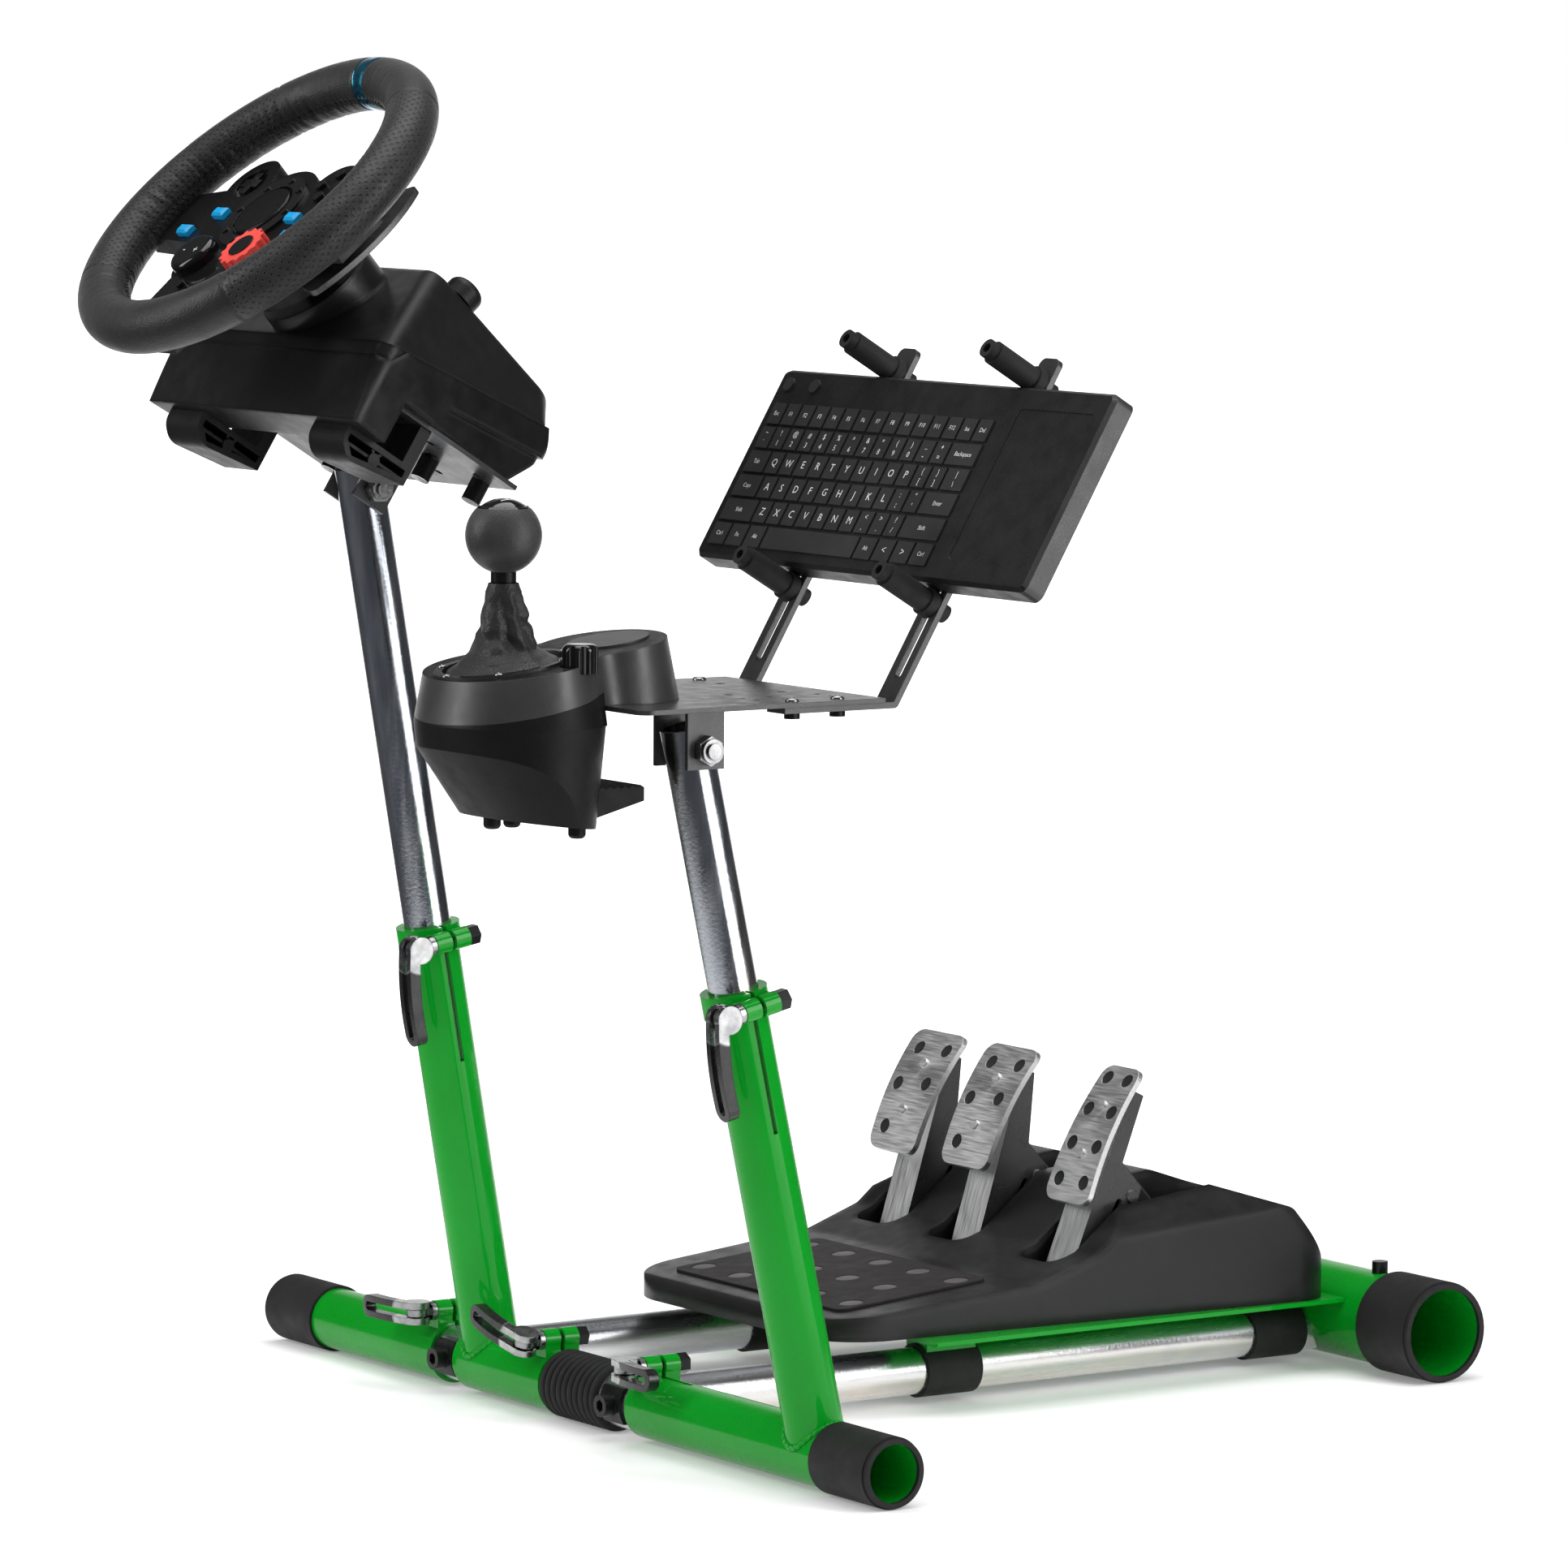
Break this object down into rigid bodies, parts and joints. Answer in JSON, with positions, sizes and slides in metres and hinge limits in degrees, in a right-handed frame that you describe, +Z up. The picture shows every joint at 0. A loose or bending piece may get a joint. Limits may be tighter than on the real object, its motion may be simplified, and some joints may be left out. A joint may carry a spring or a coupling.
{
  "type": "racing wheel stand",
  "caption": "Folding tubular stand that holds a steering wheel, gear shifter, small keyboard and pedal set for driving games, with cam clamps on telescoping posts.",
  "frame": {"origin": "middle of the bounding box, on the floor", "axes": "+X to the driver's right, +Y forward from the driver to the pedals, +Z up"},
  "size_m": [0.8116, 0.9034, 0.9011],
  "materials": {
    "green_paint": "gloss powder coat",
    "chrome": "polished plate",
    "zinc": "bright zinc",
    "black_bolt": "black oxide",
    "dark_steel": "satin black",
    "dipped": "vinyl dipped",
    "black_rubber": "matt",
    "black_plastic": "satin",
    "leather": "fine grain",
    "blue_button": "gloss",
    "red_dial": "satin",
    "stainless": "brushed"
  },
  "bodies": {
    "base": {"cross_tube": "chrome", "left_sleeve": "green_paint", "base_caps": "black_rubber", "long_tubes": "chrome", "frame_bolts": "black_bolt", "spacer_rings": "black_rubber", "rear_crossbar": "green_paint", "tube_collars": "black_rubber", "pedal_plate": "green_paint", "pedal_base": "black_plastic", "heel_pad": "black_rubber", "left_clamp_bolt": "zinc"},
    "left_clamp_lever": {"left_lever": "dipped"},
    "main_post": {"centre_sleeve": "green_paint", "main_post_tube": "green_paint", "main_clamp_bolts": "zinc"},
    "centre_clamp_lever": {"centre_lever": "dipped"},
    "wheel_mast_clamp_lever": {"wheel_mast_lever": "dipped"},
    "wheel_mast": {"wheel_mast": "chrome"},
    "wheel_carrier": {"wheel_plate": "dark_steel", "wheel_plate_bolts": "zinc", "housing_lower": "black_plastic", "housing_upper": "black_plastic", "wheel_clamps": "black_plastic"},
    "steering": {"rim": "leather", "hub": "black_plastic", "blue_buttons": "blue_button", "hub_keys": "black_plastic"},
    "left_paddle": {"left_paddle": "dark_steel"},
    "right_paddle": {"right_paddle": "dark_steel"},
    "selector_dial": {"selector_dial": "red_dial"},
    "side_post": {"right_sleeve": "green_paint", "right_cap": "black_rubber", "side_post_tube": "green_paint", "side_clamp_bolts": "zinc"},
    "right_clamp_lever": {"right_lever": "dipped"},
    "side_mast_clamp_lever": {"side_mast_lever": "dipped"},
    "side_mast": {"side_mast": "chrome"},
    "deck": {"deck_plate": "dark_steel", "deck_bolts": "zinc", "keyboard_arms": "dark_steel", "keyboard_pegs": "black_rubber", "keyboard": "black_plastic", "shifter_body": "black_plastic", "shifter_top": "black_plastic", "shifter_fittings": "black_plastic"},
    "shift_gimbal": {"shift_gimbal": "zinc"},
    "shift_lever": {"shift_lever": "leather", "shift_boot": "leather"},
    "clutch": {"clutch_pedal": "stainless", "clutch_face": "stainless"},
    "brake": {"brake_pedal": "stainless", "brake_face": "stainless"},
    "gas": {"gas_pedal": "stainless", "gas_face": "stainless"}
  },
  "joints": [
    {"name": "left_clamp", "type": "hinge", "parent": "base", "child": "left_clamp_lever", "pos_m": [-0.19275, -0.18567, 0.0514], "axis": [0, 0, 1], "range_deg": [0, 100]},
    {"name": "main_fold", "type": "hinge", "parent": "base", "child": "main_post", "pos_m": [-0.13575, -0.15927, 0.0232], "axis": [-1, 0, 0], "range_deg": [-10, 25]},
    {"name": "centre_clamp", "type": "hinge", "parent": "main_post", "child": "centre_clamp_lever", "pos_m": [-0.05475, -0.18567, 0.0514], "axis": [0.309, 0, 0.9511], "range_deg": [0, 100]},
    {"name": "wheel_mast_clamp", "type": "hinge", "parent": "main_post", "child": "wheel_mast_clamp_lever", "pos_m": [-0.10975, -0.23634, 0.31124], "axis": [-1, 0, 0], "range_deg": [0, 100]},
    {"name": "wheel_height", "type": "slide", "parent": "main_post", "child": "wheel_mast", "axis": [0, -0.1719, 0.9851], "range_m": [-0.125, 0.05]},
    {"name": "wheel_tilt", "type": "hinge", "parent": "wheel_mast", "child": "wheel_carrier", "pos_m": [-0.13575, -0.26312, 0.61821], "axis": [1, 0, 0], "range_deg": [-20, 25]},
    {"name": "steer", "type": "hinge", "parent": "wheel_carrier", "child": "steering", "pos_m": [-0.13575, -0.34189, 0.80539], "axis": [0, -0.6468, 0.7627], "range_deg": [-450, 450]},
    {"name": "right_paddle_pull", "type": "hinge", "parent": "steering", "child": "right_paddle", "pos_m": [-0.10575, -0.31602, 0.77489], "axis": [0, -0.7627, -0.6468], "range_deg": [0, 6], "stiffness_Nm_per_rad": 0.6, "springref_deg": -5.73},
    {"name": "left_paddle_pull", "type": "hinge", "parent": "steering", "child": "left_paddle", "pos_m": [-0.16575, -0.31602, 0.77489], "axis": [0, 0.7627, 0.6468], "range_deg": [0, 6], "stiffness_Nm_per_rad": 0.6, "springref_deg": -5.73},
    {"name": "selector_turn", "type": "hinge", "parent": "steering", "child": "selector_dial", "pos_m": [-0.10125, -0.36799, 0.77277], "axis": [0, -0.6468, 0.7627], "continuous": true},
    {"name": "side_fold", "type": "hinge", "parent": "base", "child": "side_post", "pos_m": [0.25625, -0.15927, 0.0232], "axis": [-1, 0, 0], "range_deg": [-10, 25]},
    {"name": "right_clamp", "type": "hinge", "parent": "side_post", "child": "right_clamp_lever", "pos_m": [0.06925, -0.18567, 0.0514], "axis": [0, 0, -1], "range_deg": [0, 100]},
    {"name": "side_mast_clamp", "type": "hinge", "parent": "side_post", "child": "side_mast_clamp_lever", "pos_m": [0.28225, -0.24976, 0.3094], "axis": [-1, 0, 0], "range_deg": [0, 100]},
    {"name": "deck_height", "type": "slide", "parent": "side_post", "child": "side_mast", "axis": [0, -0.2164, 0.9763], "range_m": [-0.08, 0.05]},
    {"name": "deck_tilt", "type": "hinge", "parent": "side_mast", "child": "deck", "pos_m": [0.25625, -0.25992, 0.47718], "axis": [1, 0, 0], "range_deg": [-15, 10]},
    {"name": "shift_select", "type": "hinge", "parent": "deck", "child": "shift_gimbal", "pos_m": [0.21425, -0.36927, 0.51818], "axis": [0, 1, 0], "range_deg": [-9, 9], "stiffness_Nm_per_rad": 2},
    {"name": "shift_throw", "type": "hinge", "parent": "shift_gimbal", "child": "shift_lever", "pos_m": [0.21425, -0.36927, 0.51818], "axis": [1, 0, 0], "range_deg": [-14, 14]},
    {"name": "clutch_press", "type": "hinge", "parent": "base", "child": "clutch", "pos_m": [-0.16475, 0.19273, 0.072], "axis": [-1, 0, 0], "range_deg": [0, 15], "stiffness_Nm_per_rad": 14, "springref_deg": -11.46},
    {"name": "brake_press", "type": "hinge", "parent": "base", "child": "brake", "pos_m": [-0.07675, 0.19273, 0.072], "axis": [-1, 0, 0], "range_deg": [0, 15], "stiffness_Nm_per_rad": 24, "springref_deg": -11.46},
    {"name": "gas_press", "type": "hinge", "parent": "base", "child": "gas", "pos_m": [0.03325, 0.19273, 0.072], "axis": [-1, 0, 0], "range_deg": [0, 15], "stiffness_Nm_per_rad": 9, "springref_deg": -11.46}
  ]
}
